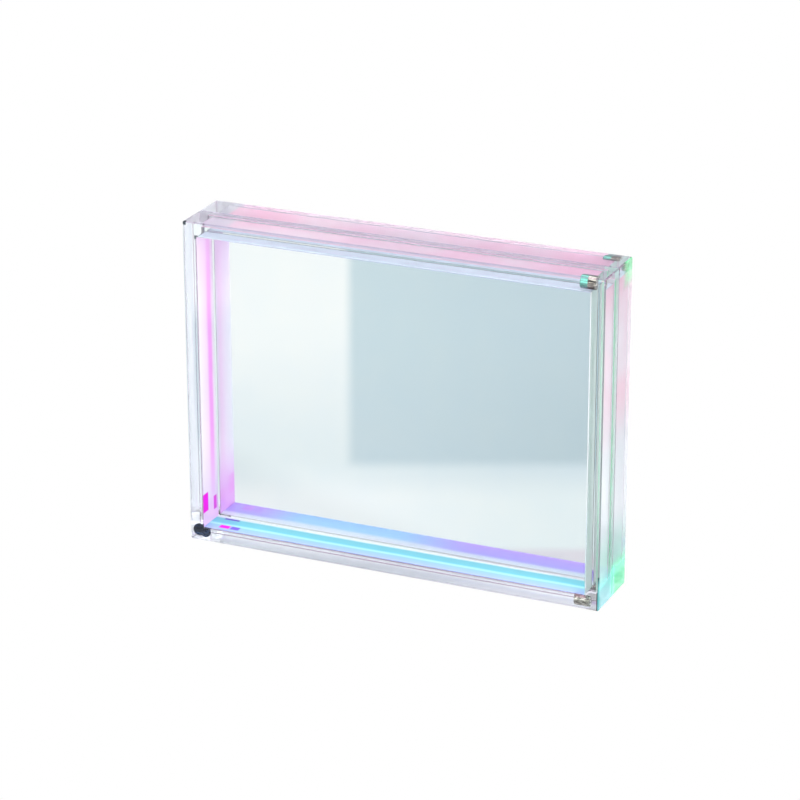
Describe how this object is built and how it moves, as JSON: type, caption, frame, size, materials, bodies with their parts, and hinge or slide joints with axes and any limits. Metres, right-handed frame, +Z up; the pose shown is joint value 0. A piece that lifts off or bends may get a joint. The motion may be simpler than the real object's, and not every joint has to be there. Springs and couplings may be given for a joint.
{
  "type": "acrylic photo frame",
  "caption": "Free-standing clear acrylic photo frame in two hollow halves that meet at a seam, with panes, colour-shifting film on the inner faces and corner magnets.",
  "frame": {"origin": "under the middle of the frame, on the surface that it stands on", "axes": "+X to the right as seen from the front, along the long side; +Y to the back, through the depth; +Z up"},
  "size_m": [0.15, 0.025, 0.115],
  "materials": {
    "clear_acrylic": "clear polished acrylic",
    "clear_pane": "clear thin acrylic sheet",
    "colour_film": "colour-shifting film, pink and cyan",
    "magnet_metal": "bright nickel plating",
    "black_magnet": "black nickel plating"
  },
  "bodies": {
    "back_half": {"back_top_rail": "clear_acrylic", "back_bottom_rail": "clear_acrylic", "back_left_upright": "clear_acrylic", "back_right_upright": "clear_acrylic", "back_top_film": "colour_film", "back_bottom_film": "colour_film", "back_left_film": "colour_film", "back_right_film": "colour_film", "back_pane": "clear_pane", "back_top_right_magnet": "magnet_metal", "back_bottom_right_magnet": "magnet_metal", "back_outer_disc": "magnet_metal", "back_inner_disc": "magnet_metal"},
    "front_half": {"front_top_rail": "clear_acrylic", "front_bottom_rail": "clear_acrylic", "front_left_upright": "clear_acrylic", "front_right_upright": "clear_acrylic", "front_top_film": "colour_film", "front_bottom_film": "colour_film", "front_left_film": "colour_film", "front_right_film": "colour_film", "front_pane": "clear_pane", "front_top_right_magnet": "magnet_metal", "front_bottom_right_magnet": "magnet_metal", "front_outer_disc": "black_magnet", "front_inner_disc": "black_magnet"}
  },
  "joints": [
    {"name": "front_half_pull", "type": "slide", "parent": "back_half", "child": "front_half", "axis": [0, -1, 0], "range_m": [0, 0.04]}
  ]
}
